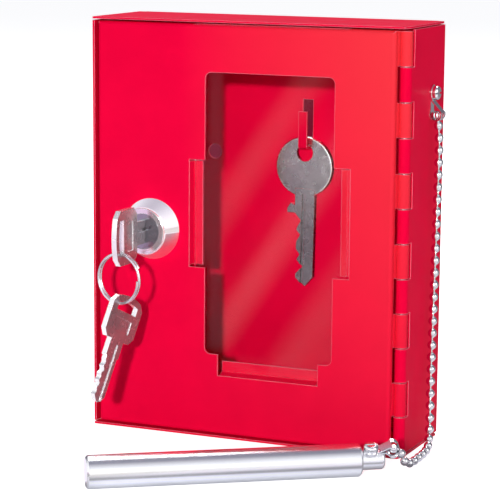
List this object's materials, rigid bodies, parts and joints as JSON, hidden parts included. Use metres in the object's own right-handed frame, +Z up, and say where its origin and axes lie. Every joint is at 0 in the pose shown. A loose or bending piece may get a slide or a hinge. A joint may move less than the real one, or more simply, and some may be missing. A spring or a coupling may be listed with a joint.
{
  "type": "break glass key box",
  "caption": "Wall mounted red sheet steel emergency key box with a glazed hinged door, cam lock with keys, key on an inner hook and a chained glass breaking rod.",
  "frame": {"origin": "middle of the case's base", "axes": "X across the width to the hinge side, -Y out of the door, Z up"},
  "size_m": [0.1287, 0.1231, 0.15],
  "materials": {
    "red_powder_coat": "semi gloss powder coat",
    "pane_glass": "clear",
    "polished_chrome": "polished",
    "zinc_steel": "zinc plated",
    "steel_wire": "drawn",
    "wafer_brass": "stamped",
    "nickel_key": "nickel plated, tumbled",
    "nickel_ring": "nickel plated",
    "nickel_chain": "nickel plated",
    "satin_aluminium": "fine turned"
  },
  "bodies": {
    "case": {"case_body": "red_powder_coat", "keeper_bracket": "red_powder_coat", "hinge_pin": "steel_wire", "chain_anchor_screw": "nickel_chain", "chain_anchor_nut": "zinc_steel", "chain_coupling_top": "nickel_chain", "ball_chain": "nickel_chain"},
    "door": {"door_panel": "red_powder_coat", "glass_pane": "pane_glass", "lock_collar": "polished_chrome", "lock_barrel": "polished_chrome", "lock_washer": "zinc_steel", "lock_nut": "zinc_steel"},
    "plug": {"lock_plug": "polished_chrome", "lock_wafers": "wafer_brass", "wafer_springs": "steel_wire", "lock_cam": "zinc_steel", "cam_washer": "zinc_steel", "cam_screw": "zinc_steel"},
    "inserted_key": {"lock_key": "nickel_key"},
    "ring": {"key_ring": "nickel_ring"},
    "hanging_key": {"spare_key": "nickel_key"},
    "hook_key": {"emergency_key": "nickel_key"},
    "chain_tail": {"chain_coupling_bottom": "nickel_chain"},
    "clapper": {"clapper_rod": "satin_aluminium", "clapper_screw": "nickel_chain"}
  },
  "joints": [
    {"name": "door_swing", "type": "hinge", "parent": "case", "child": "door", "pos_m": [0.05785, -0.0153, 0.075], "axis": [0, 0, 1], "range_deg": [0, 85]},
    {"name": "lock_turn", "type": "hinge", "parent": "door", "child": "plug", "pos_m": [-0.0364, -0.02, 0.0746], "axis": [0, 1, 0], "range_deg": [0, 90]},
    {"name": "key_withdraw", "type": "slide", "parent": "plug", "child": "inserted_key", "axis": [0, -1, 0], "range_m": [0, 0.025]},
    {"name": "ring_swing", "type": "hinge", "parent": "inserted_key", "child": "ring", "pos_m": [-0.0364, -0.0449, 0.0691], "axis": [1, 0, 0], "range_deg": [-25, 10]},
    {"name": "spare_key_swing", "type": "hinge", "parent": "ring", "child": "hanging_key", "pos_m": [-0.03649, -0.04541, 0.0517], "axis": [0.9846, -0.1405, -0.1037], "range_deg": [-20, 12]},
    {"name": "emergency_key_swing", "type": "hinge", "parent": "case", "child": "hook_key", "pos_m": [0.0078, 0.019, 0.10055], "axis": [0, 1, 0], "range_deg": [-25, 25]},
    {"name": "clapper_swing", "type": "hinge", "parent": "case", "child": "chain_tail", "pos_m": [0.06491, -0.0409, 0.00964], "axis": [0, 0, 1], "range_deg": [0, 90]},
    {"name": "clapper_turn", "type": "hinge", "parent": "chain_tail", "child": "clapper", "pos_m": [0.05829, -0.04505, 0.00882], "axis": [0.2417, -0.3467, 0.9063], "range_deg": [-10, 0]}
  ],
  "couplings": [
    {"joint": "clapper_swing", "follows": "door_swing", "ratio": 1}
  ]
}
